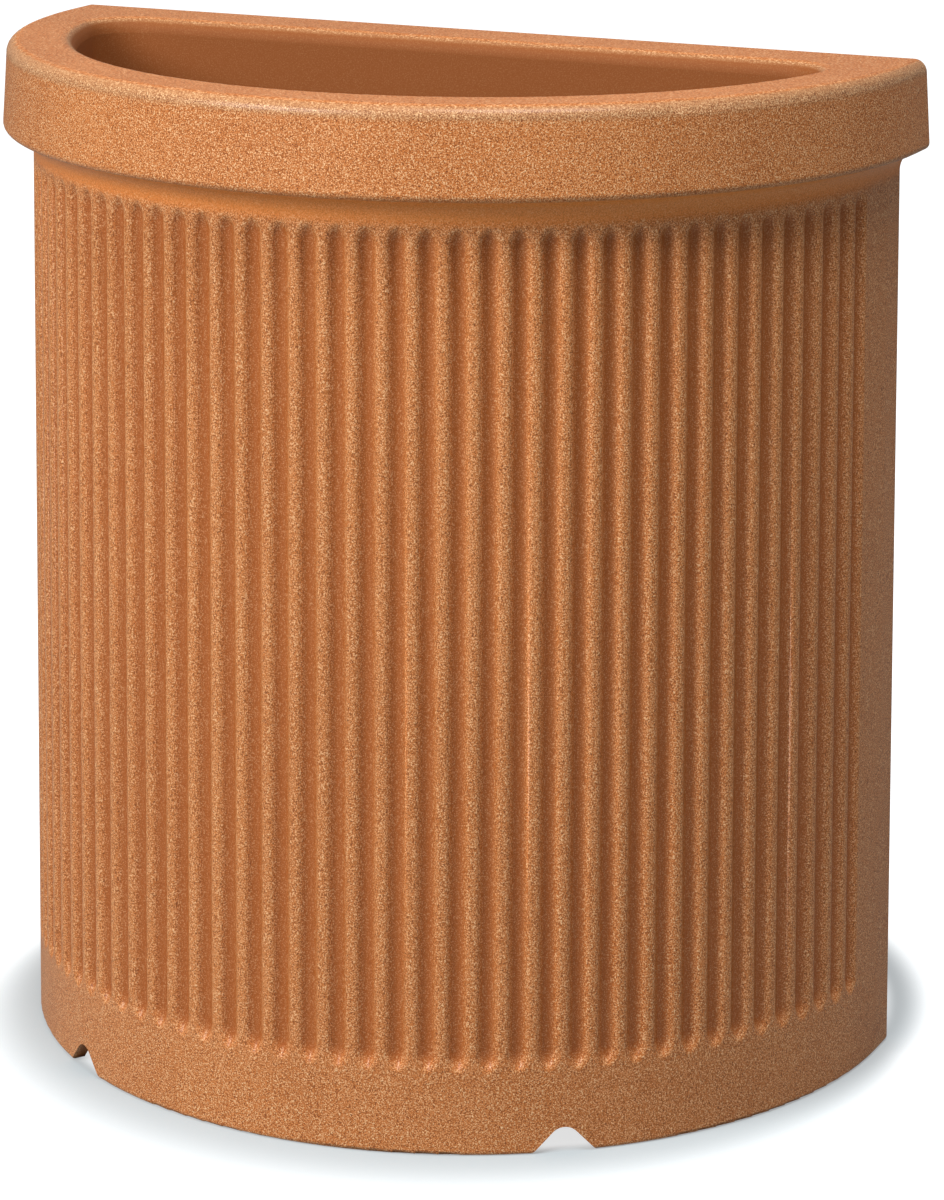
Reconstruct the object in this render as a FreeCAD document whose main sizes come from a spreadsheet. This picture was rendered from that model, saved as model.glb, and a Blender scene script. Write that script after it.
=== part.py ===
import FreeCAD, Part
import Sketcher
import math
import os
import re

# Half-round planter that stands with its flat back against a wall.
# Millimetres. X is the width, Y runs from the bowed front (-Y) to the flat back (+Y), Z is up.
# The bow is a half circle whose centre stands "side_run" in front of the back.

os.makedirs("parts", exist_ok=True)
doc = FreeCAD.newDocument("wall_planter")

# ---------------------------------------------------------------- driving dimensions
SIZES = [
    # whole pot
    ("width", 500), ("height", 540), ("side_run", 20),
    # outside of the wall: radius at the ground, and the same taper carried up to the top
    ("base_r", 241), ("crown_r", 233.5), ("base_round", 2.5), ("back_round", 2),
    # rim band and the concave neck under it
    ("rim_lean", 4), ("rim_round", 7), ("rim_lip", 3.5), ("neck_drop", 58.5), ("neck_r", 11.5),
    # grooves
    ("flute_count", 45), ("flute_span", 162.4), ("flute_r", 4.8), ("flute_depth", 3.8),
    ("flute_round", 3.4), ("flute_low", 55), ("flute_high", 470), ("flute_tip", 0.6),
    ("flute_foot_r", 14), ("flute_head_r", 11),
    # inside of the pot
    ("mouth_r", 211), ("mouth_back", 40), ("mouth_corner", 22), ("mouth_round", 8),
    ("floor_r", 206), ("floor_back", 42), ("floor_top", 24), ("floor_round", 9),
    # hollow between the two skins
    ("skin", 4.5), ("wall_skin", 6.5), ("void_low", 21),
    # hollow underside, drain notches, drain holes and vent
    ("skirt", 8), ("skirt_rise", 16), ("skirt_corner", 8),
    ("notch_angle", 35.3), ("notch_half", 17), ("notch_shoulder", 6), ("notch_rise", 11.5),
    ("notch_crown", 8.5), ("drain_r", 10), ("drain_ring", 125), ("drain_angle", 50),
    ("vent_r", 4), ("vent_inset", 20),
    # soil grid and its feet
    ("grid_height", 36), ("grid_gap", 3), ("grid_plate", 3), ("grid_skirt", 10), ("grid_corner", 18),
    ("seep_r", 4), ("seep_edge", 60), ("seep_first", 80), ("seep_step", 23), ("seep_rings", 4),
    ("seep_outer", 192),
    ("finger_r", 12), ("finger_x", 85), ("finger_run", 42),
    ("foot_ring", 170), ("foot_front_angle", 25), ("foot_side_angle", 66), ("foot_rear_run", 52),
    ("foot_r", 11), ("foot_wall", 3.2), ("foot_flange_r", 15), ("foot_flange", 3),
    ("spigot_length", 10), ("spigot_wall", 2.4), ("fit_gap", 0.3),
    # drain plug
    ("plug_draft", 0.4), ("plug_shank", 10), ("plug_flange_r", 15), ("plug_flange", 3),
    ("plug_stem_r", 4.5), ("plug_stem", 4), ("plug_knob_r", 7.5), ("plug_knob", 4),
    # vent plug
    ("vent_shank", 8), ("vent_head_r", 7), ("vent_head", 2.5),
]
sheet = doc.addObject("Spreadsheet::Sheet", "Sheet")
for row, (alias, value) in enumerate(SIZES, start=1):
    sheet.set(f"A{row}", alias)
    sheet.set(f"B{row}", str(value))
    sheet.setAlias(f"B{row}", alias)

# Sizes that follow from the driving ones.
DERIVED = [
    ("rim_r", "=width / 2"),
    ("back_y", "=(width / 2 + side_run) / 2"),
    ("axis_y", "=(width / 2 - side_run) / 2"),
    ("taper", "=(base_r - crown_r) / height"),
    ("lean_cos", "=1 / sqrt(1 + taper * taper)"),
    ("lean_sin", "=taper / sqrt(1 + taper * taper)"),
    ("rim_cos", "=cos(rim_lean * 1deg)"),
    ("rim_sin", "=sin(rim_lean * 1deg)"),
    # centre of the round at the ground
    ("ground_x", "=base_r - base_round * (taper * (1 + lean_sin) + lean_cos)"),
    # the neck's hollow touches the wall, then the small round under the rim, then the rim face
    ("neck_low", "=height - neck_drop"),
    ("neck_x", "=base_r - taper * neck_low"),
    ("hollow_x", "=neck_x + neck_r * lean_cos"),
    ("hollow_z", "=neck_low + neck_r * lean_sin"),
    ("lip_x", "=rim_r - rim_lip"),
    ("lip_z", "=hollow_z + sqrt((neck_r + rim_lip) ^ 2 - (hollow_x - lip_x) ^ 2)"),
    ("join_x", "=hollow_x + (lip_x - hollow_x) * neck_r / (neck_r + rim_lip)"),
    ("join_z", "=hollow_z + (lip_z - hollow_z) * neck_r / (neck_r + rim_lip)"),
    ("brow_z", "=height - rim_round"),
    ("brow_x", "=lip_x + (rim_lip - rim_round - rim_sin * (brow_z - lip_z)) / rim_cos"),
    ("grid_under", "=floor_top + grid_height"),
    ("grid_r", "=floor_r - grid_gap"),
    ("grid_back", "=floor_back + grid_gap"),
    ("spigot_r", "=foot_r - foot_wall - fit_gap"),
]
for row, (alias, formula) in enumerate(DERIVED, start=len(SIZES) + 1):
    sheet.set(f"A{row}", alias)
    sheet.set(f"B{row}", formula)
    sheet.setAlias(f"B{row}", alias)
doc.recompute()

# Values that the code itself needs, such as counts and places to look for edges.
size = {alias: float(getattr(sheet.get(alias), "Value", sheet.get(alias)))
        for alias, _ in SIZES + DERIVED}


# ---------------------------------------------------------------- drawing helpers
def bound(text):
    """Write {alias} as a reference to the sheet's cell."""
    return re.sub(r"\{(\w+)\}", r"Sheet.\1", text)


def number(text):
    """Value of an expression in {alias} form."""
    result = sheet.evalExpression(re.sub(r"\{(\w+)\}", r"\1", text))
    return float(getattr(result, "Value", result))


def plane_of(body, role):
    """Origin plane of a body by its role."""
    return next(item for item in body.Origin.OriginFeatures if item.Role == role)


def new_sketch(body, name, role="XY_Plane", lift="0", turn="0"):
    """Sketch on an origin plane, lifted along the plane's normal and turned about Z."""
    sketch = body.newObject("Sketcher::SketchObject", name)
    sketch.AttachmentSupport = [(plane_of(body, role), "")]
    sketch.MapMode = "FlatFace"
    if role == "XZ_Plane":
        # The upright plane stands through the axis of the bow.
        sketch.AttachmentOffset = FreeCAD.Placement(
            FreeCAD.Vector(0, 0, 0), FreeCAD.Rotation(FreeCAD.Vector(0, 1, 0), 1))
        sketch.setExpression("AttachmentOffset.Base.z", bound(f"-({{axis_y}}) - ({lift})"))
        sketch.setExpression("AttachmentOffset.Rotation.Angle", bound(turn))
    else:
        sketch.setExpression("AttachmentOffset.Base.z", bound(lift))
    return sketch


def pin(sketch, geometry, end, x_text, y_text):
    """Fix one end of a curve at a place given by two expressions."""
    for kind, text in (("DistanceX", x_text), ("DistanceY", y_text)):
        value = number(text)
        if abs(value) < 1e-9:
            axis = -2 if kind == "DistanceX" else -1
            sketch.addConstraint(Sketcher.Constraint("PointOnObject", geometry, end, axis))
        else:
            index = sketch.addConstraint(
                Sketcher.Constraint(kind, -1, 1, geometry, end, value))
            sketch.setExpression(f"Constraints[{index}]", bound(text))


def outline(sketch, nodes):
    """Closed outline through nodes (x, y, radius): a radius bends the run to the next node.

    A positive radius puts the arc's centre on the left of the run, a negative one on the right.
    """
    places = [FreeCAD.Vector(number(x), number(y), 0) for x, y, _ in nodes]
    curves = []
    for index, (_, _, radius) in enumerate(nodes):
        start, stop = places[index], places[(index + 1) % len(nodes)]
        if radius is None:
            curves.append((sketch.addGeometry(Part.LineSegment(start, stop), False), 1, 2))
            continue
        reach = number(radius)
        chord = stop - start
        half = chord.Length / 2
        side = FreeCAD.Vector(-chord.y, chord.x, 0) / chord.Length
        rise = math.sqrt(reach * reach - half * half)
        centre = start + chord / 2 + side * (rise if reach > 0 else -rise)
        first, last = (start, stop) if reach > 0 else (stop, start)
        arc = Part.ArcOfCircle(
            Part.Circle(centre, FreeCAD.Vector(0, 0, 1), abs(reach)),
            math.atan2(first.y - centre.y, first.x - centre.x),
            math.atan2(last.y - centre.y, last.x - centre.x))
        geometry = sketch.addGeometry(arc, False)
        limit = sketch.addConstraint(Sketcher.Constraint("Radius", geometry, abs(reach)))
        sketch.setExpression(f"Constraints[{limit}]", bound(f"abs({radius})"))
        curves.append((geometry, 1, 2) if reach > 0 else (geometry, 2, 1))
    for index, (geometry, start_end, stop_end) in enumerate(curves):
        following, next_start, _ = curves[(index + 1) % len(curves)]
        sketch.addConstraint(
            Sketcher.Constraint("Coincident", geometry, stop_end, following, next_start))
        pin(sketch, geometry, start_end, nodes[index][0], nodes[index][1])


def circle(sketch, x_text, y_text, radius_text):
    """Circle whose centre and radius are expressions."""
    place = FreeCAD.Vector(number(x_text), number(y_text), 0)
    geometry = sketch.addGeometry(
        Part.Circle(place, FreeCAD.Vector(0, 0, 1), number(radius_text)), False)
    limit = sketch.addConstraint(Sketcher.Constraint("Radius", geometry, number(radius_text)))
    sketch.setExpression(f"Constraints[{limit}]", bound(radius_text))
    pin(sketch, geometry, 3, x_text, y_text)


def bow_outline(sketch, radius, back, corner):
    """Half-round plan: a bow of this radius and a straight back with two round corners.

    "back" is how far the straight line stands in front of the pot's back face.
    """
    run = f"({{side_run}} - ({back}))"
    if number(run) > number(corner):
        # The back line lies behind the bow's centre, so straight sides join them. The half circle
        # is two quarters, because its ends alone don't tell where its centre is.
        side = f"({{axis_y}} + {run} - ({corner}))"
        nodes = [
            (f"-({radius})", side, None),
            (f"-({radius})", "{axis_y}", radius),
            ("0", f"{{axis_y}} - ({radius})", radius),
            (f"({radius})", "{axis_y}", None),
            (f"({radius})", side, corner),
            (f"({radius}) - ({corner})", f"{{axis_y}} + {run}", None),
            (f"({corner}) - ({radius})", f"{{axis_y}} + {run}", corner),
        ]
    else:
        # The corner circle touches the back line and the bow from the inside.
        depth = f"(({corner}) - {run})"
        reach = f"(({radius}) - ({corner}))"
        across = f"sqrt({reach} * {reach} - {depth} * {depth})"
        scale = f"(({radius}) / {reach})"
        nodes = [
            (f"-{across} * {scale}", f"{{axis_y}} - {depth} * {scale}", radius),
            (f"{across} * {scale}", f"{{axis_y}} - {depth} * {scale}", corner),
            (across, f"{{axis_y}} + {run}", None),
            (f"-{across}", f"{{axis_y}} + {run}", corner),
        ]
    outline(sketch, nodes)


def around_bow(radius, angle):
    """Place on a ring about the bow's axis: angle from the front, positive towards +X."""
    return (f"({radius}) * sin(({angle}) * 1deg)",
            f"{{axis_y}} - ({radius}) * cos(({angle}) * 1deg)")


def pad(body, sketch, length, reverse=False):
    """Solid block from a sketch."""
    feature = body.newObject("PartDesign::Pad", "Pad")
    feature.Profile = sketch
    feature.setExpression("Length", bound(length))
    feature.Reversed = reverse
    sketch.Visibility = False
    doc.recompute()
    return feature


def pocket(body, sketch, length, reverse=False):
    """Cut a block from a sketch and insist that it removes something."""
    before = body.Shape.Volume
    feature = body.newObject("PartDesign::Pocket", "Pocket")
    feature.Profile = sketch
    feature.setExpression("Length", bound(length))
    feature.Reversed = reverse
    sketch.Visibility = False
    doc.recompute()
    if not body.Shape.Volume < before:
        raise RuntimeError(f"{body.Label}: {feature.Name} cuts nothing")
    return feature


def turn(body, kind, sketch, axis, angle, reverse=False):
    """Revolution or Groove of a sketch about an axis of a sketch."""
    feature = body.newObject(f"PartDesign::{kind}", kind)
    feature.Profile = sketch
    feature.ReferenceAxis = axis
    feature.setExpression("Angle", bound(angle))
    feature.Reversed = reverse
    sketch.Visibility = False
    doc.recompute()
    return feature


def round_edges(body, name, radius, picks):
    """Fillet the edges whose numbers are given."""
    base = body.Tip
    feature = body.newObject("PartDesign::Fillet", name)
    feature.Base = (base, [f"Edge{index}" for index in picks])
    feature.setExpression("Radius", bound(radius))
    doc.recompute()
    body.Tip = feature
    return feature


def edges_where(shape, test):
    """Numbers of the edges that pass a test on their box and middle."""
    return [index for index, edge in enumerate(shape.Edges, start=1) if test(edge)]


def polar(body, features, axis, angle, count):
    """Repeat features about an axis."""
    pattern = body.newObject("PartDesign::PolarPattern", "PolarPattern")
    pattern.Originals = features
    pattern.Axis = axis
    pattern.setExpression("Angle", bound(angle))
    pattern.setExpression("Occurrences", bound(count))
    body.Tip = pattern
    doc.recompute()
    return pattern


def mirror(body, features):
    """Repeat features on the other side of the YZ plane."""
    copy = body.newObject("PartDesign::Mirrored", "Mirrored")
    copy.Originals = features
    copy.MirrorPlane = (plane_of(body, "YZ_Plane"), [""])
    body.Tip = copy
    doc.recompute()
    return copy


def new_body(label):
    """Body named after its node."""
    body = doc.addObject("PartDesign::Body", label)
    body.Label = label
    return body


# ---------------------------------------------------------------- planter shell
shell = new_body("planter_shell")

# Outside profile, from the axis of the bow outwards: foot, tapering wall, neck, rim band, top.
outside = new_sketch(shell, "outside_profile", "XZ_Plane")
outline(outside, [
    ("0", "0", None),
    ("{ground_x}", "0", "{base_round}"),
    ("{ground_x} + {base_round} * {lean_cos}", "{base_round} * (1 + {lean_sin})", None),
    ("{neck_x}", "{neck_low}", "-{neck_r}"),
    ("{join_x}", "{join_z}", "{rim_lip}"),
    ("{lip_x} + {rim_lip} * {rim_cos}", "{lip_z} + {rim_lip} * {rim_sin}", None),
    ("{brow_x} + {rim_round} * {rim_cos}", "{brow_z} + {rim_round} * {rim_sin}", "{rim_round}"),
    ("{brow_x}", "{height}", None),
    ("0", "{height}", None),
])
turn(shell, "Revolution", outside, (outside, ["V_Axis"]), "180", True)
side = pad(shell, outside, "{side_run}", True)
mirror(shell, [side])

# Small round along the whole outline of the flat back.
back_y = size["back_y"]
picks = edges_where(shell.Shape, lambda edge: edge.BoundBox.YMin > back_y - 0.01)
round_edges(shell, "back_edge", "{back_round}", picks)

# Inside of the pot: a loft from the floor to the mouth.
floor_plan = new_sketch(shell, "floor_plan", lift="{floor_top}")
bow_outline(floor_plan, "{floor_r}", "{floor_back}", "{mouth_corner}")
mouth_plan = new_sketch(shell, "mouth_plan", lift="{height}")
bow_outline(mouth_plan, "{mouth_r}", "{mouth_back}", "{mouth_corner}")
inside = shell.newObject("PartDesign::SubtractiveLoft", "inside")
inside.Profile = floor_plan
inside.Sections = [mouth_plan]
inside.Ruled = True
doc.recompute()
floor_z, top_z = size["floor_top"], size["height"]
mouth_reach = size["mouth_r"] + 1
picks = edges_where(shell.Shape, lambda edge: (
    edge.BoundBox.ZMin > top_z - 0.01 and edge.BoundBox.XMax < mouth_reach
    and edge.BoundBox.XMin > -mouth_reach and edge.BoundBox.YMax < back_y - 10))
round_edges(shell, "mouth_edge", "{mouth_round}", picks)
picks = edges_where(shell.Shape, lambda edge: (
    abs(edge.BoundBox.ZMin - floor_z) < 0.01 and abs(edge.BoundBox.ZMax - floor_z) < 0.01))
round_edges(shell, "floor_edge", "{floor_round}", picks)

# Hollow between the two skins: a turned ring in front and a slab behind the inside's back wall.
void_outer = [
    ("{base_r} - {wall_skin}", "{void_low}", None),
    ("{neck_x} - {wall_skin}", "{neck_low} + {skin}", None),
    ("{lip_x} - {skin}", "{lip_z} + {skin}", None),
    ("{brow_x} + {rim_round} - {skin}", "{brow_z} - {skin}", None),
    ("{brow_x} - {skin}", "{height} - {skin}", None),
]
ring = new_sketch(shell, "void_ring", "XZ_Plane")
outline(ring, void_outer + [
    ("{mouth_r} + {mouth_round} + {skin}", "{height} - {skin}", None),
    ("{mouth_r} + {skin}", "{height} - {mouth_round} - {skin}", None),
    ("{floor_r} + {skin}", "{floor_top}", None),
    ("{floor_r} + {skin}", "{void_low}", None),
])
turn(shell, "Groove", ring, (ring, ["V_Axis"]), "180", True)
slab = new_sketch(shell, "void_slab", "XZ_Plane", lift="{side_run} - {skin}")
outline(slab, void_outer + [
    (f"-({x})", z, None) for x, z, _ in reversed(void_outer)
])
pocket(shell, slab, "{mouth_back} - {skin} * 2 - {mouth_round}", True)

# Hollow underside inside a standing skirt.
underside = new_sketch(shell, "underside_plan")
bow_outline(underside, "{base_r} - {skirt}", "{skirt}", "{skirt_corner}")
pocket(shell, underside, "{skirt_rise}", True)

# Two drain notches through the skirt, one each side of the front.
notch = new_sketch(shell, "notch_profile", "XZ_Plane", turn="{notch_angle}")
outline(notch, [
    ("-{notch_half}", "0", None),
    ("{notch_half}", "0", None),
    ("{notch_shoulder}", "{notch_rise}", "{notch_crown}"),
    ("-{notch_shoulder}", "{notch_rise}", None),
])
notch_cut = pocket(shell, notch, "{base_r} + {skirt}", True)
mirror(shell, [notch_cut])

# Drain holes in the floor and the vent hole into the hollow wall.
drains = new_sketch(shell, "drain_plan", lift="{floor_top}")
DRAIN_PLACES = {
    "drain_plug_left": around_bow("{drain_ring}", "-{drain_angle}"),
    "drain_plug_centre": around_bow("{drain_ring}", "0"),
    "drain_plug_right": around_bow("{drain_ring}", "{drain_angle}"),
}
for x_text, y_text in DRAIN_PLACES.values():
    circle(drains, x_text, y_text, "{drain_r}")
pocket(shell, drains, "{floor_top} - {skirt_rise}")
vent = new_sketch(shell, "vent_plan", lift="{skirt_rise}")
circle(vent, "0", "{back_y} - {vent_inset}", "{vent_r}")
pocket(shell, vent, "{void_low} - {skirt_rise}", True)

# One groove: a long spindle that sinks into the wall and fades out at both ends.
flute = new_sketch(shell, "flute_profile", "XZ_Plane", turn="-90 - {flute_span} / 2")


def spindle(height_text, radius_text):
    """Place on the spindle's side: its own axis stands just outside the wall."""
    wall = f"({{base_r}} - {{taper}} * ({height_text}))"
    return (f"{wall} + {{flute_r}} - {{flute_depth}} - ({radius_text})", height_text)


drop = "({flute_r} - {flute_tip})"
foot_run = f"sqrt(2 * {{flute_foot_r}} * {drop} - {drop} * {drop})"
head_run = f"sqrt(2 * {{flute_head_r}} * {drop} - {drop} * {drop})"
low_end, high_end = f"({{flute_low}} - {foot_run})", f"({{flute_high}} + {head_run})"
outline(flute, [
    spindle(low_end, "0") + (None,),
    spindle(high_end, "0") + (None,),
    spindle(high_end, "{flute_tip}") + ("{flute_head_r}",),
    spindle("{flute_high}", "{flute_r}") + (None,),
    spindle("{flute_low}", "{flute_r}") + ("{flute_foot_r}",),
    spindle(low_end, "{flute_tip}") + (None,),
])
cut = turn(shell, "Groove", flute, (flute, ["Edge1"]), "360")
polar(shell, [cut], (outside, ["V_Axis"]), "{flute_span}", "{flute_count}")

# Round the crests: the grooves' mouths are the inner loops of the bowed wall.
bowed = max(shell.Shape.Faces, key=lambda face: len(face.Wires))
mouths = [edge for wire in bowed.Wires if not wire.isSame(bowed.OuterWire) for edge in wire.Edges]
picks = edges_where(shell.Shape, lambda edge: any(edge.isSame(other) for other in mouths))
round_edges(shell, "crest_round", "{flute_round}", picks)

# ---------------------------------------------------------------- soil grid
grid = new_body("soil_grid")
plan = new_sketch(grid, "grid_plan", lift="{grid_under} - {grid_skirt}")
bow_outline(plan, "{grid_r}", "{grid_back}", "{grid_corner}")
pad(grid, plan, "{grid_skirt} + {grid_plate}")
hollow = new_sketch(grid, "grid_hollow", lift="{grid_under} - {grid_skirt}")
bow_outline(hollow, "{grid_r} - {grid_plate}", "{grid_back} + {grid_plate}",
            "{grid_corner} - {grid_plate}")
pocket(grid, hollow, "{grid_skirt}", True)

# Rings of seep holes; each ring's end holes keep their distance from the back edge.
axis_sketch = new_sketch(grid, "grid_axis", "XZ_Plane")
outline(axis_sketch, [("0", "0", None), ("{grid_r}", "0", None), ("{grid_r}", "{grid_under}", None),
                      ("0", "{grid_under}", None)])
axis_sketch.Visibility = False
rings = [f"{{seep_first}} + {level} * {{seep_step}}" for level in range(int(size["seep_rings"]))]
for ring_r in rings + ["{seep_outer}"]:
    half_angle = math.degrees(math.acos(size["seep_edge"] / number(ring_r)))
    arc_length = math.radians(2 * half_angle) * number(ring_r)
    hole_count = 2 * int(arc_length / size["seep_step"] / 2) + 1
    half_text = f"(acos({{seep_edge}} / ({ring_r})) / 1deg)"
    seep = new_sketch(grid, "seep_plan", lift="{grid_under} + {grid_plate}")
    circle(seep, *around_bow(ring_r, "-" + half_text), "{seep_r}")
    seep_cut = pocket(grid, seep, "{grid_plate}")
    polar(grid, [seep_cut], (axis_sketch, ["V_Axis"]), f"2 * {half_text}", str(hole_count))

# Two finger holes for lifting the grid out.
fingers = new_sketch(grid, "finger_plan", lift="{grid_under} + {grid_plate}")
for sign in ("-", ""):
    circle(fingers, f"{sign}{{finger_x}}", "{axis_y} - {finger_run}", "{finger_r}")
pocket(grid, fingers, "{grid_plate}")

# Tubular spigots under the plate that carry the feet.
FOOT_PLACES = [
    around_bow("{foot_ring}", "-{foot_side_angle}"),
    around_bow("{foot_ring}", "-{foot_front_angle}"),
    around_bow("{foot_ring}", "{foot_front_angle}"),
    around_bow("{foot_ring}", "{foot_side_angle}"),
    around_bow("{foot_rear_run}", "0"),
]
spigots = new_sketch(grid, "spigot_plan", lift="{grid_under}")
for x_text, y_text in FOOT_PLACES:
    circle(spigots, x_text, y_text, "{spigot_r}")
    circle(spigots, x_text, y_text, "{spigot_r} - {spigot_wall}")
pad(grid, spigots, "{spigot_length}", True)

# ---------------------------------------------------------------- grid feet
# Each foot is a tube over a spigot, with a spread flange on the floor.
def turned(name, sections, x_text, y_text):
    """Cylinders and cones on one upright axis that stands at a place on the floor plan.

    Each section is (lower height, upper height, lower radius, upper radius).
    """
    pieces = []
    for low, high, low_r, high_r in sections:
        if low_r == high_r:
            piece = doc.addObject("Part::Cylinder", f"{name}_section")
            piece.setExpression("Radius", bound(low_r))
        else:
            piece = doc.addObject("Part::Cone", f"{name}_section")
            piece.setExpression("Radius1", bound(low_r))
            piece.setExpression("Radius2", bound(high_r))
        piece.setExpression("Height", bound(f"({high}) - ({low})"))
        piece.setExpression("Placement.Base.x", bound(x_text))
        piece.setExpression("Placement.Base.y", bound(y_text))
        piece.setExpression("Placement.Base.z", bound(low))
        pieces.append(piece)
    return pieces


def joined(label, pieces):
    """Fuse of several objects under one node's name."""
    fuse = doc.addObject("Part::MultiFuse", label)
    fuse.Shapes = pieces
    fuse.Refine = True
    fuse.Label = label
    doc.recompute()
    return fuse


feet = []
for x_text, y_text in FOOT_PLACES:
    outer = joined("foot_outer", turned("foot", [
        ("{floor_top}", "{floor_top} + {foot_flange}", "{foot_flange_r}", "{foot_flange_r}"),
        ("{floor_top}", "{grid_under}", "{foot_r}", "{foot_r}"),
    ], x_text, y_text))
    bore = turned("foot_bore", [
        ("{floor_top}", "{grid_under}", "{foot_r} - {foot_wall}", "{foot_r} - {foot_wall}"),
    ], x_text, y_text)[0]
    tube = doc.addObject("Part::Cut", "foot_tube")
    tube.Base, tube.Tool = outer, bore
    feet.append(tube)
doc.recompute()
grid_feet = doc.addObject("Part::Compound", "grid_feet")
grid_feet.Links = feet
grid_feet.Label = "grid_feet"
doc.recompute()

# ---------------------------------------------------------------- drain plugs
# A plug sits in its hole from above: tapered shank, flange on the floor, stem and pull knob.
plugs = []
flange_top = "{floor_top} + {plug_flange}"
stem_top = f"{flange_top} + {{plug_stem}}"
for label, (x_text, y_text) in DRAIN_PLACES.items():
    plugs.append(joined(label, turned(label, [
        ("{floor_top} - {plug_shank}", "{floor_top}",
         "{drain_r} - {fit_gap} - {plug_draft}", "{drain_r} - {fit_gap}"),
        ("{floor_top}", flange_top, "{plug_flange_r}", "{plug_flange_r}"),
        (flange_top, stem_top, "{plug_stem_r}", "{plug_stem_r}"),
        (stem_top, f"{stem_top} + {{plug_knob}}", "{plug_knob_r}", "{plug_knob_r}"),
    ], x_text, y_text)))

# ---------------------------------------------------------------- vent plug
vent_x, vent_y = "0", "{back_y} - {vent_inset}"
vent_plug = joined("vent_plug", turned("vent_plug", [
    ("{skirt_rise} - {vent_head}", "{skirt_rise}", "{vent_head_r}", "{vent_head_r}"),
    ("{skirt_rise}", "{skirt_rise} + {vent_shank}",
     "{vent_r} - {fit_gap}", "{vent_r} - {fit_gap}"),
], vent_x, vent_y))

# ---------------------------------------------------------------- checks and files
nodes = [shell, grid, grid_feet] + plugs + [vent_plug]
doc.recompute()
for item in doc.Objects:
    if "Invalid" in item.State or "Error" in item.State:
        raise RuntimeError(f"{item.Name}: {item.State}")
for node in nodes:
    shape = node.Shape
    if shape.isNull() or not shape.isValid():
        raise RuntimeError(f"{node.Label}: bad shape")
    box = shape.optimalBoundingBox(False)
    print(f"{node.Label}: {len(shape.Solids)} solid, {shape.Volume / 1000:.1f} cm3,"
          f" x {box.XMin:.1f} {box.XMax:.1f}, y {box.YMin:.1f} {box.YMax:.1f},"
          f" z {box.ZMin:.1f} {box.ZMax:.1f}")
    shape.exportStep(f"parts/{node.Label}.step")
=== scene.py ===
"""Half-round wall planter: finishes for every moulded piece, and a plain studio around it."""
import math

import bpy
from mathutils import Matrix, Vector

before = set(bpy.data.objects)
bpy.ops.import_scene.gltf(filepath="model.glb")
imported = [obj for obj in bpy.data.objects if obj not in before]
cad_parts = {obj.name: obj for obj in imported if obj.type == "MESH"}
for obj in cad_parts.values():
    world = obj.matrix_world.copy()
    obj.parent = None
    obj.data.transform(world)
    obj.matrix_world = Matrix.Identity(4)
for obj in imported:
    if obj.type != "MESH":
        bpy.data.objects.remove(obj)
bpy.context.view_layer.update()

bl_info = {
    "name": "Half-round wall planter",
    "version": (1, 0, 0),
    "blender": (4, 5, 0),
    "location": "View3D > Sidebar > Planter",
    "description": "Finishes and studio for a fluted half-round wall planter",
    "category": "Object",
}

SHELL = "planter_shell"
GRID = "soil_grid"
FEET = "grid_feet"
PLUGS = ("drain_plug_left", "drain_plug_centre", "drain_plug_right")
VENT = "vent_plug"

# Places on the pot that its finish follows, in metres.
POT_HEIGHT = 0.540
BOW_AXIS_Y = 0.115
WALL_BASE_R = 0.241
WALL_TAPER = 0.0075 / POT_HEIGHT
FLUTE_DEPTH = 0.0038
NECK_LOW = 0.4815
NECK_TOP = 0.4930
NECK_R = 0.2455
MOUTH_R = 0.2190
MOUTH_BACK_Y = 0.1030

# Where each colour mask starts and where it is full, in metres from the place that it follows.
GROOVE_FROM_NECK = (0.003, 0.0)
NECK_FROM_LOW = (-0.005, 0.002)
NECK_FROM_TOP = (0.001, -0.002)
NECK_FROM_R = (0.0015, -0.0005)
INSIDE_FROM_EDGE = (0.0, -0.0025)
INSIDE_FROM_TOP = (-0.0003, -0.0030)
BROW_FROM_TOP = (-0.0090, -0.0050)
BROW_END_FROM_TOP = (-0.0001, -0.0012)
FLAT_FROM_TOP = (-0.0035, -0.0005)

# The groove mask starts at a share of the groove's depth, and only beyond these radii.
GROOVE_START = 0.30
GROOVE_RADII = (0.224, 0.228)

# Shares of the sand taken off in the hollows, inside the pot and on the flat top.
CALM_HOLLOW = 0.65
CALM_INSIDE = 0.9
CALM_FLAT = 0.3

# Terracotta plastic: size of the flat top's sand over the rest, stretch of the clouds, and gloss.
FLAT_SAND = 1.6
CLOUD_STRETCH = 2.2
SPECK_ROUGHNESS = 0.12
PLASTIC_IOR = 1.46
PLASTIC_SPECULAR = 0.25
COAT_ROUGHNESS = 0.28

# Loose pieces: width of the clouds, and how haze and clouds change the colour and roughness.
INSERT_CLOUD = 0.035
HAZE_GAIN = 1.7
HAZE_LIFT = 0.012
GRAIN_HAZE = 0.30
CLOUD_ROUGHNESS = 0.14
# The rubber's grain against the plastic's.
RUBBER_GRAIN_SIZE = 0.6
RUBBER_GRAIN_DEPTH = 0.5

# Floor: how far its glow takes to rise beside and before the pot, which leaves a painted contact shadow at
# the base, and its level under the pot, which is painted light where the pot shades the floor.
GLOW_REACH = 0.025
GLOW_REACH_AHEAD = 0.060
GLOW_REACH_UNDER = 0.012
PAINTED_LIGHT_UNDER_POT = 0.6
# Width, strength and middle level of the floor's blotches.
BLOTCH_WIDTH = 0.6
BLOTCH_DEPTH = 0.02
BLOTCH_BASE = 0.99

# Points that the two lights look at.
KEY_AIM = (0, 0, 0.3)
TOP_AIM = (0, 0, 0.5)


# ---------------------------------------------------------------- sizes and colours
def colour(name, description, default):
    """Colour property in linear RGB."""
    return bpy.props.FloatVectorProperty(
        name=name, description=description, default=default, size=3, subtype="COLOR", min=0, max=1)


def length(name, description, default):
    """Length property in metres."""
    return bpy.props.FloatProperty(
        name=name, description=description, default=default, min=0, unit="LENGTH", precision=5)


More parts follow.
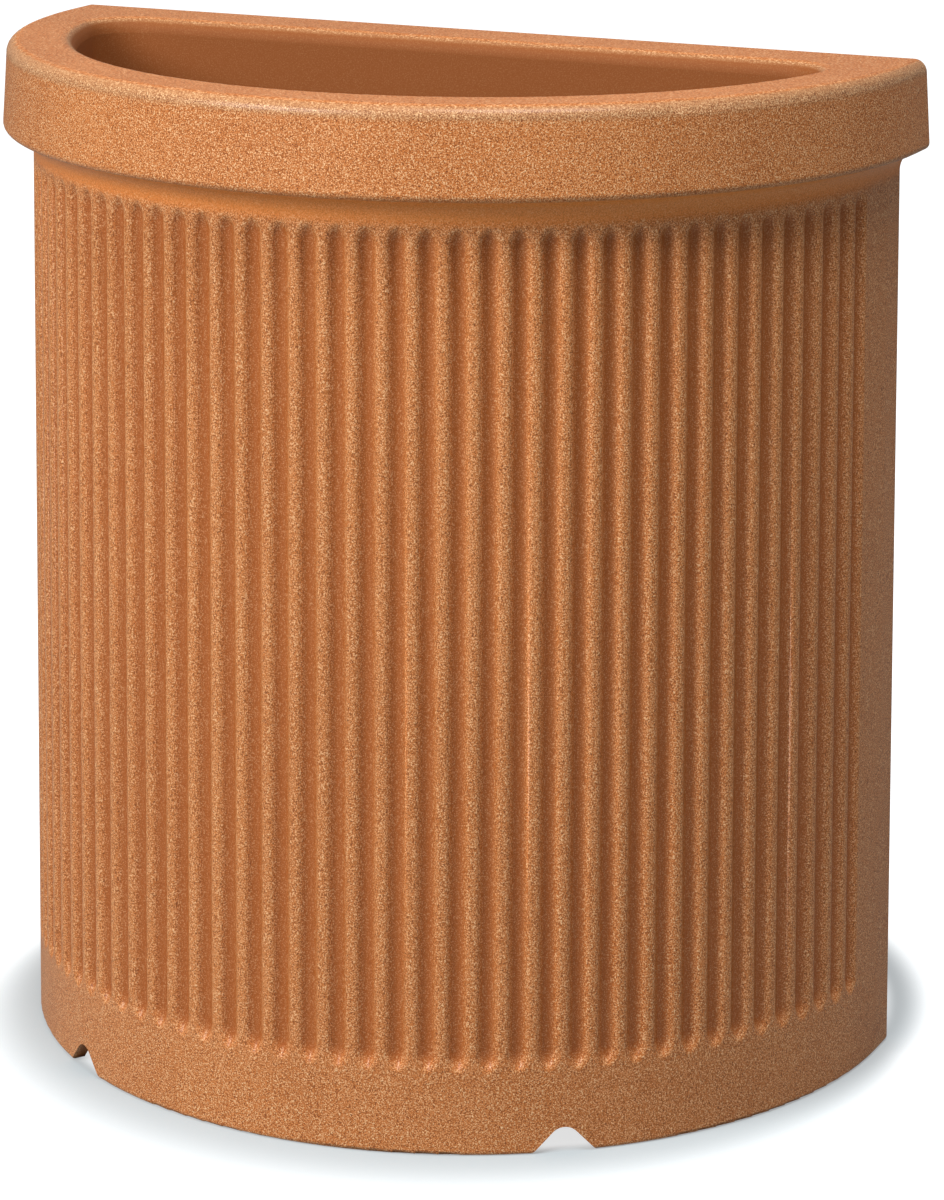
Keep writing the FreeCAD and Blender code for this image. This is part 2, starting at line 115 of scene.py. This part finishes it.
def share(name, description, default, top=1.0):
    """Plain factor."""
    return bpy.props.FloatProperty(name=name, description=description, default=default, min=0, max=top)


class ShellLook(bpy.types.PropertyGroup):
    """Sand-textured terracotta plastic of the pot."""

    crest_colour: colour("Crests", "Colour of the rim, the base band and the crests", (0.65, 0.203, 0.042))
    # Darker, more saturated groove tone: partly the grooves' own tone, partly painted shade in the
    # recesses.
    groove_tone_and_shade: colour("Grooves", "Colour in the bottoms of the grooves", (0.41, 0.102, 0.010))
    # Painted light: the neck under the rim is painted lighter than the crests, against the rim's shade.
    neck_painted_light: colour("Neck", "Colour in the hollow neck under the rim", (0.84, 0.255, 0.040))
    # Painted highlight: a paler, whiter tone on the round next to the flat top.
    brow_painted_highlight: colour("Brow", "Colour of the highlit round at the rim's top", (0.52, 0.225, 0.085))
    # Painted shade: the pot's inside is painted darker than the crests.
    inside_painted_shade: colour("Inside", "Colour of the pot's inside", (0.29, 0.086, 0.019))
    burnt_colour: colour("Burnt patches", "Colour of the warmer clouds", (0.54, 0.150, 0.021))
    pale_speck: colour("Pale specks", "Colour of the pale sand specks", (1.0, 0.66, 0.36))
    dark_speck: colour("Dark specks", "Colour of the dark sand specks", (0.21, 0.058, 0.015))
    speck_size: length("Speck size", "Width of one sand speck", 0.00072)
    speck_share: share("Speck strength", "How far specks differ from the ground colour", 0.95)
    grain_depth: length("Grain depth", "Height of the sand texture", 0.00030)
    cloud_size: length("Cloud size", "Width of the clouds of tone", 0.11)
    cloud_share: share("Cloud strength", "How far clouds differ from the ground colour", 0.45)
    roughness: share("Roughness", "Surface roughness of the plastic", 0.66)
    skin_gloss: share("Skin gloss", "Share of the smooth moulded skin outside the pot", 0.45)


class InsertLook(bpy.types.PropertyGroup):
    """Finishes of the loose pieces."""

    grid_colour: colour("Grid", "Colour of the soil grid", (0.030, 0.031, 0.033))
    feet_colour: colour("Feet", "Colour of the grid's feet", (0.042, 0.042, 0.045))
    rubber_colour: colour("Rubber", "Colour of the drain plugs", (0.020, 0.019, 0.019))
    vent_colour: colour("Vent plug", "Colour of the vent plug", (0.060, 0.032, 0.020))
    grain_size: length("Grain size", "Width of the mould's spark texture", 0.0008)
    grain_depth: length("Grain depth", "Height of the mould's spark texture", 0.00005)


class Studio(bpy.types.PropertyGroup):
    """Camera, floor and lights."""

    camera_place: bpy.props.FloatVectorProperty(
        name="Camera place", description="Where the camera stands", size=3,
        default=(0.8955, -1.9190, 0.8477), subtype="TRANSLATION")
    camera_yaw: bpy.props.FloatProperty(
        name="Yaw", description="Turn of the camera to its left", default=0.39258, unit="ROTATION")
    camera_pitch: bpy.props.FloatProperty(
        name="Pitch", description="How far the camera looks down", default=0.24838, unit="ROTATION")
    camera_roll: bpy.props.FloatProperty(
        name="Roll", description="Tilt of the camera about its line of sight", default=0.00872,
        unit="ROTATION")
    lens: bpy.props.FloatProperty(
        name="Lens", description="Focal length on a 36 mm wide sensor", default=125.36, unit="CAMERA")
    shift: bpy.props.FloatVectorProperty(
        name="Shift", description="Sideways and upright shift of the lens", size=2,
        default=(-0.0749, -0.0832))
    key_power: bpy.props.FloatProperty(
        name="Key light", description="Power of the main light", default=70.0, unit="POWER")
    key_width: length("Key width", "Width of the main light", 1.5)
    key_distance: length("Key distance", "How far the main light stands from the pot", 3.0)
    key_turn: bpy.props.FloatProperty(
        name="Key turn", description="Direction of the main light from the pot's front",
        default=math.radians(-27), unit="ROTATION")
    key_height: bpy.props.FloatProperty(
        name="Key height", description="Angle of the main light above the floor",
        default=math.radians(32), unit="ROTATION")
    top_power: bpy.props.FloatProperty(
        name="Top light", description="Power of the light over the pot", default=22.0, unit="POWER")
    top_width: length("Top width", "Width of the light over the pot", 0.9)
    top_height: length("Top height", "How far the top light stands from the pot", 1.8)
    top_turn: bpy.props.FloatProperty(
        name="Top turn", description="Direction of the top light from the pot's front",
        default=math.radians(45), unit="ROTATION")
    top_lean: bpy.props.FloatProperty(
        name="Top lean", description="Angle of the top light above the floor",
        default=math.radians(66), unit="ROTATION")
    sky: share("Sky", "Strength of the light from all round", 0.28)
    floor_width: length("Floor width", "Width of the floor", 16.0)
    floor_colour: colour("Floor", "Colour of the floor", (0.34, 0.40, 0.43))
    # The floor glow alone is the level in the painted contact shadow at the base.
    floor_glow: share("Floor glow", "Brightness that the camera sees on the floor near the pot", 0.30, 2.0)
    floor_lift: share("Floor lift", "Brightness that the floor gains away from the pot", 0.72, 2.0)


class PlanterSettings(bpy.types.PropertyGroup):
    """All settings of the planter."""

    shell: bpy.props.PointerProperty(type=ShellLook)
    insert: bpy.props.PointerProperty(type=InsertLook)
    studio: bpy.props.PointerProperty(type=Studio)


# ---------------------------------------------------------------- node helpers
def add(tree, kind, settings=None, **inputs):
    """New node with its settings, and values or links for its inputs by name or number."""
    node = tree.nodes.new(kind)
    for name, value in (settings or {}).items():
        setattr(node, name, value)
    for name, value in inputs.items():
        socket = node.inputs[int(name[1:])] if name[1:].isdigit() else node.inputs[name.replace("_", " ")]
        if isinstance(value, bpy.types.NodeSocket):
            tree.links.new(value, socket)
        else:
            socket.default_value = value
    return node


def maths(tree, operation, *values):
    """Result of a Math node."""
    inputs = {f"i{index}": value for index, value in enumerate(values)}
    return add(tree, "ShaderNodeMath", {"operation": operation}, **inputs).outputs[0]


def product(tree, first, *others):
    """Values multiplied in order."""
    for value in others:
        first = maths(tree, "MULTIPLY", first, value)
    return first


def weighted(tree, first, first_share, second, second_share):
    """Sum of two values, each taken by its share."""
    return maths(tree, "ADD", product(tree, first, first_share), product(tree, second, second_share))


def ramp(tree, value, low, high, start=0.0, end=1.0):
    """Smooth step of a value from low to high."""
    return add(tree, "ShaderNodeMapRange", {"interpolation_type": "SMOOTHSTEP"},
               i0=value, i1=low, i2=high, i3=start, i4=end).outputs[0]


def edge(tree, value, place, reach):
    """Smooth step between two distances from a place."""
    start, full = reach
    return ramp(tree, value, place + start, place + full)


def mixed(tree, factor, first, second):
    """Two colours mixed by a factor."""
    return add(tree, "ShaderNodeMix", {"data_type": "RGBA"}, i0=factor, i6=first, i7=second).outputs[2]


def rgba(value):
    """Colour property as four numbers."""
    return (*value, 1.0)


def noise(tree, vector, size, detail=2.0, rough=0.5):
    """Noise whose features are about one size wide."""
    scale = maths(tree, "DIVIDE", 1.0, size) if isinstance(size, bpy.types.NodeSocket) else 1.0 / size
    return add(tree, "ShaderNodeTexNoise", {"noise_dimensions": "3D"},
               Vector=vector, Scale=scale, Detail=detail, Roughness=rough).outputs[0]


def node_group(name, inputs, outputs):
    """Empty shader node group with named sockets, and its two end nodes."""
    group = bpy.data.node_groups.new(name, "ShaderNodeTree")
    for label, kind, default in inputs:
        socket = group.interface.new_socket(name=label, in_out="INPUT", socket_type=kind)
        if default is not None:
            socket.default_value = default
    for label, kind in outputs:
        group.interface.new_socket(name=label, in_out="OUTPUT", socket_type=kind)
    return group, group.nodes.new("NodeGroupInput"), group.nodes.new("NodeGroupOutput")


def sand_group():
    """Sand grain: masks of pale and dark specks, and a height.

    A noise of one speck's width and one of under half that width are summed. The sum is cut high for
    pale specks and low for dark ones, from its middle. The height sums the same two noises.
    """
    fine_width, coarse_share, fine_share, fine_relief = 0.45, 0.65, 0.35, 0.5
    middle, pale_full, dark_full = 0.50, 0.66, 0.36
    group, start, end = node_group(
        "Sand grain",
        [("Vector", "NodeSocketVector", None), ("Size", "NodeSocketFloat", 0.001)],
        [("Pale", "NodeSocketFloat"), ("Dark", "NodeSocketFloat"), ("Height", "NodeSocketFloat")])
    coarse = noise(group, start.outputs[0], start.outputs[1], 1.5, 0.6)
    fine = noise(group, start.outputs[0], product(group, start.outputs[1], fine_width), 1.0)
    speck = weighted(group, coarse, coarse_share, fine, fine_share)
    for value, label in ((ramp(group, speck, middle, pale_full), "Pale"),
                         (ramp(group, speck, middle, dark_full), "Dark"),
                         (maths(group, "ADD", coarse, product(group, fine, fine_relief)), "Height")):
        group.links.new(value, end.inputs[label])
    return group


def cloud_group():
    """Clouds of tone: a wide noise and one a third as wide, drawn out upwards."""
    near_width, wide_share, near_share = 0.33, 0.7, 0.3
    mask_start, mask_full = 0.42, 0.62
    group, start, end = node_group(
        "Tone clouds",
        [("Vector", "NodeSocketVector", None), ("Size", "NodeSocketFloat", 0.1),
         ("Upright stretch", "NodeSocketFloat", 2.0)],
        [("Mask", "NodeSocketFloat")])
    squeeze = add(group, "ShaderNodeCombineXYZ", i0=1.0, i1=1.0,
                  i2=maths(group, "DIVIDE", 1.0, start.outputs[2])).outputs[0]
    place = add(group, "ShaderNodeVectorMath", {"operation": "MULTIPLY"},
                i0=start.outputs[0], i1=squeeze).outputs[0]
    wide = noise(group, place, start.outputs[1])
    near = noise(group, place, product(group, start.outputs[1], near_width))
    both = weighted(group, wide, wide_share, near, near_share)
    group.links.new(ramp(group, both, mask_start, mask_full), end.inputs[0])
    return group


def place_group(tree, group, **inputs):
    """Group node with its inputs."""
    return add(tree, "ShaderNodeGroup", {"node_tree": bpy.data.node_groups[group]}, **inputs)


def new_material(name):
    """Material with a Principled shader, and its Object coordinates."""
    material = bpy.data.materials.new(name)
    material.use_nodes = True
    tree = material.node_tree
    shader = tree.nodes["Principled BSDF"]
    place = tree.nodes.new("ShaderNodeTexCoord").outputs["Object"]
    return material, tree, shader, place


def feed(tree, shader, **links):
    """Link values into the shader's inputs."""
    for name, value in links.items():
        tree.links.new(value, shader.inputs[name.replace("_", " ")])


def bump(tree, height, depth):
    """Normal from a height, with the depth in metres."""
    return add(tree, "ShaderNodeBump", Strength=1.0, Distance=depth, Height=height).outputs[0]


def dress(material, *names):
    """Give CAD nodes a material in all their slots."""
    for name in names:
        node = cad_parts[name]
        if not node.data.materials:
            node.data.materials.append(material)
        for slot in node.material_slots:
            slot.material = material


def need_groups():
    """Build the shared node groups once."""
    if "Sand grain" not in bpy.data.node_groups:
        sand_group()
    if "Tone clouds" not in bpy.data.node_groups:
        cloud_group()


# ---------------------------------------------------------------- finishes
def terracotta(look):
    """Terracotta plastic: crest colour, groove tone with painted shade, painted light in the neck,
    a painted highlight on the brow, painted shade inside, clouds, sand specks and sand relief.

    The groove mask is how far a point lies inside the tapering wall, as a share of the groove's
    depth. It and the neck mask, which holds between two heights, follow the distance from the bow's
    axis, so they also mark the flat back. The inside mask holds within the mouth's outline and below
    the top, and the brow mask on the rounds next to the flat top. The grooves take a darker, more
    saturated tone, partly their own and partly painted shade in the recesses; the neck is painted
    lighter as painted light against the rim's shade; the brow is painted paler as a painted highlight;
    and the inside is painted darker as painted shade. Sand is calm in the hollows, inside
    the pot and on the flat top, where it is also coarser.
    """
    material, tree, shader, place = new_material("Terracotta plastic")
    xyz = add(tree, "ShaderNodeSeparateXYZ", i0=place).outputs
    rearward, height = xyz[1], xyz[2]
    flat = add(tree, "ShaderNodeVectorMath", {"operation": "MULTIPLY_ADD"},
               i0=place, i1=(1.0, 1.0, 0.0), i2=(0.0, -BOW_AXIS_Y, 0.0)).outputs[0]
    radius = add(tree, "ShaderNodeVectorMath", {"operation": "LENGTH"}, i0=flat).outputs["Value"]
    wall = maths(tree, "MULTIPLY_ADD", height, -WALL_TAPER, WALL_BASE_R)
    depth = maths(tree, "SUBTRACT", wall, radius)
    groove = product(tree, ramp(tree, depth, FLUTE_DEPTH * GROOVE_START, FLUTE_DEPTH),
                     edge(tree, height, NECK_LOW, GROOVE_FROM_NECK), ramp(tree, radius, *GROOVE_RADII))
    neck = product(tree, edge(tree, height, NECK_LOW, NECK_FROM_LOW),
                   edge(tree, height, NECK_TOP, NECK_FROM_TOP), edge(tree, radius, NECK_R, NECK_FROM_R))
    inside = product(tree, edge(tree, radius, MOUTH_R, INSIDE_FROM_EDGE),
                     edge(tree, rearward, MOUTH_BACK_Y, INSIDE_FROM_EDGE),
                     edge(tree, height, POT_HEIGHT, INSIDE_FROM_TOP))
    brow = product(tree, edge(tree, height, POT_HEIGHT, BROW_FROM_TOP),
                   edge(tree, height, POT_HEIGHT, BROW_END_FROM_TOP))
    on_top = edge(tree, height, POT_HEIGHT, FLAT_FROM_TOP)

    clouds = place_group(tree, "Tone clouds", Vector=place, Size=look.cloud_size,
                         Upright_stretch=CLOUD_STRETCH)
    cloud = product(tree, clouds.outputs[0], look.cloud_share)
    ground = mixed(tree, cloud, rgba(look.crest_colour), rgba(look.burnt_colour))
    # Groove tone with painted shade, neck painted light, brow painted highlight and inside painted shade.
    for mask, tone in ((groove, look.groove_tone_and_shade), (neck, look.neck_painted_light),
                       (brow, look.brow_painted_highlight), (inside, look.inside_painted_shade)):
        ground = mixed(tree, mask, ground, rgba(tone))

    wall_sand = place_group(tree, "Sand grain", Vector=place, Size=look.speck_size)
    flat_sand = place_group(tree, "Sand grain", Vector=place, Size=look.speck_size * FLAT_SAND)
    off_top = maths(tree, "SUBTRACT", 1.0, on_top)
    pale, dark, relief = (weighted(tree, near, off_top, wide, on_top)
                          for near, wide in zip(wall_sand.outputs, flat_sand.outputs))
    hollow = product(tree, maths(tree, "MAXIMUM", groove, neck), CALM_HOLLOW)
    hollow = maths(tree, "MAXIMUM", hollow, product(tree, inside, CALM_INSIDE))
    hollow = maths(tree, "MAXIMUM", hollow, product(tree, on_top, CALM_FLAT))
    calm = maths(tree, "SUBTRACT", 1.0, hollow)
    for specks, tone in ((pale, look.pale_speck), (dark, look.dark_speck)):
        ground = mixed(tree, product(tree, specks, look.speck_share, calm), ground, rgba(tone))

    rough = maths(tree, "MULTIPLY_ADD", pale, SPECK_ROUGHNESS, look.roughness)
    gloss = maths(tree, "MULTIPLY_ADD", inside, -look.skin_gloss, look.skin_gloss)
    feed(tree, shader, Base_Color=ground, Roughness=rough, Coat_Weight=gloss,
         Normal=bump(tree, product(tree, relief, calm), look.grain_depth))
    shader.inputs["IOR"].default_value = PLASTIC_IOR
    shader.inputs["Specular IOR Level"].default_value = PLASTIC_SPECULAR
    shader.inputs["Coat Roughness"].default_value = COAT_ROUGHNESS
    return material


def moulded(name, base, grain_size, grain_depth, roughness, haze=0.35):
    """Moulded plastic or rubber: spark-textured, with a light haze in clouds and on its grain."""
    material, tree, shader, place = new_material(name)
    clouds = place_group(tree, "Tone clouds", Vector=place, Size=INSERT_CLOUD, Upright_stretch=1.0)
    sand = place_group(tree, "Sand grain", Vector=place, Size=grain_size)
    hazed = rgba(min(1.0, channel * HAZE_GAIN + HAZE_LIFT) for channel in base)
    tone = mixed(tree, product(tree, clouds.outputs[0], haze), rgba(base), hazed)
    tone = mixed(tree, product(tree, sand.outputs[0], GRAIN_HAZE), tone, hazed)
    rough = maths(tree, "MULTIPLY_ADD", clouds.outputs[0], CLOUD_ROUGHNESS, roughness)
    feed(tree, shader, Base_Color=tone, Roughness=rough, Normal=bump(tree, sand.outputs[2], grain_depth))
    return material


class PLANTER_OT_shell(bpy.types.Operator):
    """Finish the pot in sand-textured terracotta plastic"""

    bl_idname = "planter.shell"
    bl_label = "Finish the pot"

    def execute(self, context):
        need_groups()
        dress(terracotta(context.scene.planter.shell), SHELL)
        return {"FINISHED"}


class PLANTER_OT_grid(bpy.types.Operator):
    """Finish the soil grid and its feet in black moulded plastic"""

    bl_idname = "planter.grid"
    bl_label = "Finish the grid and feet"

    def execute(self, context):
        need_groups()
        look = context.scene.planter.insert
        dress(moulded("Grid plastic", look.grid_colour, look.grain_size, look.grain_depth,
                      roughness=0.42), GRID)
        dress(moulded("Feet plastic", look.feet_colour, look.grain_size, look.grain_depth,
                      roughness=0.36), FEET)
        return {"FINISHED"}


class PLANTER_OT_plugs(bpy.types.Operator):
    """Finish the drain plugs in rubber and the vent plug in brown plastic"""

    bl_idname = "planter.plugs"
    bl_label = "Finish the plugs"

    def execute(self, context):
        need_groups()
        look = context.scene.planter.insert
        dress(moulded("Plug rubber", look.rubber_colour, look.grain_size * RUBBER_GRAIN_SIZE,
                      look.grain_depth * RUBBER_GRAIN_DEPTH, roughness=0.52, haze=0.6), *PLUGS)
        dress(moulded("Vent plastic", look.vent_colour, look.grain_size, look.grain_depth,
                      roughness=0.40), VENT)
        return {"FINISHED"}


# ---------------------------------------------------------------- studio
def floor_sheet(width):
    """Flat square floor at the pot's foot."""
    half = width / 2
    mesh = bpy.data.meshes.new("Studio floor")
    mesh.from_pydata([(-half, -half, 0), (half, -half, 0), (half, half, 0), (-half, half, 0)], [],
                     [(0, 1, 2, 3)])
    floor = bpy.data.objects.new("Studio_floor", mesh)
    bpy.context.scene.collection.objects.link(floor)
    return floor


def floor_finish(studio):
    """Matt pale floor. To the camera it also glows, and more so away from the pot and under it.

    The glow rises with the distance from the bow's axis, so it keeps a darker ring at the base's
    radius, a painted contact shadow, also behind the flat back. Under the pot the glow rises again, as
    painted light where the pot shades the floor.
    """
    material = bpy.data.materials.new("Studio floor")
    material.use_nodes = True
    tree = material.node_tree
    shader = tree.nodes["Principled BSDF"]
    shader.inputs["Roughness"].default_value = 1.0
    shader.inputs["Specular IOR Level"].default_value = 0.0
    shader.inputs["Emission Color"].default_value = (1, 1, 1, 1)
    place = tree.nodes.new("ShaderNodeTexCoord").outputs["Object"]
    blotch = noise(tree, place, BLOTCH_WIDTH)
    tone = maths(tree, "MULTIPLY_ADD", blotch, BLOTCH_DEPTH, BLOTCH_BASE)
    paint = add(tree, "ShaderNodeVectorMath", {"operation": "SCALE"}, i0=tuple(studio.floor_colour))
    tree.links.new(tone, paint.inputs["Scale"])
    path = tree.nodes.new("ShaderNodeLightPath")
    away = add(tree, "ShaderNodeVectorMath", {"operation": "DISTANCE"},
               i0=place, i1=(0.0, BOW_AXIS_Y, 0.0)).outputs["Value"]
    ahead = add(tree, "ShaderNodeSeparateXYZ", i0=place).outputs[1]
    ahead = maths(tree, "MAXIMUM", maths(tree, "SUBTRACT", BOW_AXIS_Y, ahead), 0.0)
    reach = maths(tree, "MULTIPLY_ADD", maths(tree, "DIVIDE", ahead, away), GLOW_REACH_AHEAD,
                  WALL_BASE_R + GLOW_REACH)
    # Painted contact shadow: the glow is lowest at the base's radius and rises outwards.
    outside = ramp(tree, away, WALL_BASE_R, reach)
    # Painted light under the pot, where the pot shades the floor.
    under = ramp(tree, away, WALL_BASE_R, WALL_BASE_R - GLOW_REACH_UNDER, 0.0, PAINTED_LIGHT_UNDER_POT)
    level = maths(tree, "MULTIPLY_ADD", maths(tree, "MAXIMUM", outside, under), studio.floor_lift,
                  studio.floor_glow)
    glow = product(tree, path.outputs["Is Camera Ray"], level)
    feed(tree, shader, Base_Color=paint.outputs[0], Emission_Strength=glow)
    return material


def studio_world(strength):
    """Even, faintly cool light from all round, which the camera itself sees as white."""
    world = bpy.data.worlds.new("Studio")
    bpy.context.scene.world = world
    world.use_nodes = True
    tree = world.node_tree
    tree.nodes.clear()
    light = add(tree, "ShaderNodeBackground", Color=(0.96, 0.98, 1.0, 1.0), Strength=strength)
    white = add(tree, "ShaderNodeBackground", Color=(1, 1, 1, 1), Strength=1.0)
    path = tree.nodes.new("ShaderNodeLightPath")
    mix = add(tree, "ShaderNodeMixShader", i0=path.outputs["Is Camera Ray"], i1=light.outputs[0],
              i2=white.outputs[0])
    out = tree.nodes.new("ShaderNodeOutputWorld")
    tree.links.new(mix.outputs[0], out.inputs[0])


def area_light(name, turn, height, distance, width, power, tint, aim):
    """Square light that looks at a point from a direction given from the pot's front."""
    data = bpy.data.lights.new(name, "AREA")
    data.shape = "SQUARE"
    data.size = width
    data.energy = power
    data.color = tint
    lamp = bpy.data.objects.new(name, data)
    away = Vector((math.sin(turn) * math.cos(height), -math.cos(turn) * math.cos(height), math.sin(height)))
    lamp.location = Vector(aim) + away * distance
    lamp.rotation_mode = "QUATERNION"
    lamp.rotation_quaternion = away.to_track_quat("Z", "Y")
    bpy.context.scene.collection.objects.link(lamp)


def studio_camera(studio):
    """Camera at the photograph's viewpoint: yaw, then pitch, then roll."""
    yaw, pitch, roll = studio.camera_yaw, studio.camera_pitch, studio.camera_roll
    ahead = Vector((-math.sin(yaw) * math.cos(pitch), math.cos(yaw) * math.cos(pitch), -math.sin(pitch)))
    level = Vector((math.cos(yaw), math.sin(yaw), 0))
    above = level.cross(ahead)
    right = level * math.cos(roll) + above * math.sin(roll)
    up = above * math.cos(roll) - level * math.sin(roll)
    data = bpy.data.cameras.new("Studio camera")
    data.sensor_width = 36.0
    data.lens = studio.lens
    data.shift_x, data.shift_y = studio.shift
    data.clip_end = 50.0
    camera = bpy.data.objects.new("Studio_camera", data)
    turn = Matrix((right, up, -ahead)).transposed().to_4x4()
    camera.matrix_world = Matrix.Translation(Vector(studio.camera_place)) @ turn
    bpy.context.scene.collection.objects.link(camera)
    bpy.context.scene.camera = camera


class PLANTER_OT_studio(bpy.types.Operator):
    """Set up the camera, the floor and the lights"""

    bl_idname = "planter.studio"
    bl_label = "Set up the studio"

    def execute(self, context):
        studio = context.scene.planter.studio
        floor_sheet(studio.floor_width).data.materials.append(floor_finish(studio))
        studio_world(studio.sky)
        area_light("Key", studio.key_turn, studio.key_height, studio.key_distance, studio.key_width,
                   studio.key_power, (1.0, 0.985, 0.96), KEY_AIM)
        area_light("Top", studio.top_turn, studio.top_lean, studio.top_height, studio.top_width,
                   studio.top_power, (1.0, 1.0, 1.0), TOP_AIM)
        studio_camera(studio)
        context.scene.view_settings.view_transform = "Standard"
        return {"FINISHED"}


class PLANTER_PT_panel(bpy.types.Panel):
    """Planter settings in the sidebar"""

    bl_label = "Half-round wall planter"
    bl_space_type = "VIEW_3D"
    bl_region_type = "UI"
    bl_category = "Planter"

    def draw(self, context):
        settings = context.scene.planter
        for group, names in ((settings.shell, OPERATORS[:1]), (settings.insert, OPERATORS[1:3]),
                             (settings.studio, OPERATORS[3:])):
            box = self.layout.box()
            for name in group.__annotations__:
                box.prop(group, name)
            for operator in names:
                box.operator(operator)


CLASSES = (ShellLook, InsertLook, Studio, PlanterSettings, PLANTER_OT_shell, PLANTER_OT_grid,
           PLANTER_OT_plugs, PLANTER_OT_studio, PLANTER_PT_panel)
OPERATORS = ("planter.shell", "planter.grid", "planter.plugs", "planter.studio")


def register():
    """Add the classes and the scene's settings."""
    for cls in CLASSES:
        bpy.utils.register_class(cls)
    bpy.types.Scene.planter = bpy.props.PointerProperty(type=PlanterSettings)


def unregister():
    """Take the classes and the scene's settings away."""
    del bpy.types.Scene.planter
    for cls in reversed(CLASSES):
        bpy.utils.unregister_class(cls)


def main():
    """Run every step in order."""
    register()
    bpy.ops.planter.shell()
    bpy.ops.planter.grid()
    bpy.ops.planter.plugs()
    bpy.ops.planter.studio()


if __name__ == "__main__":
    main()
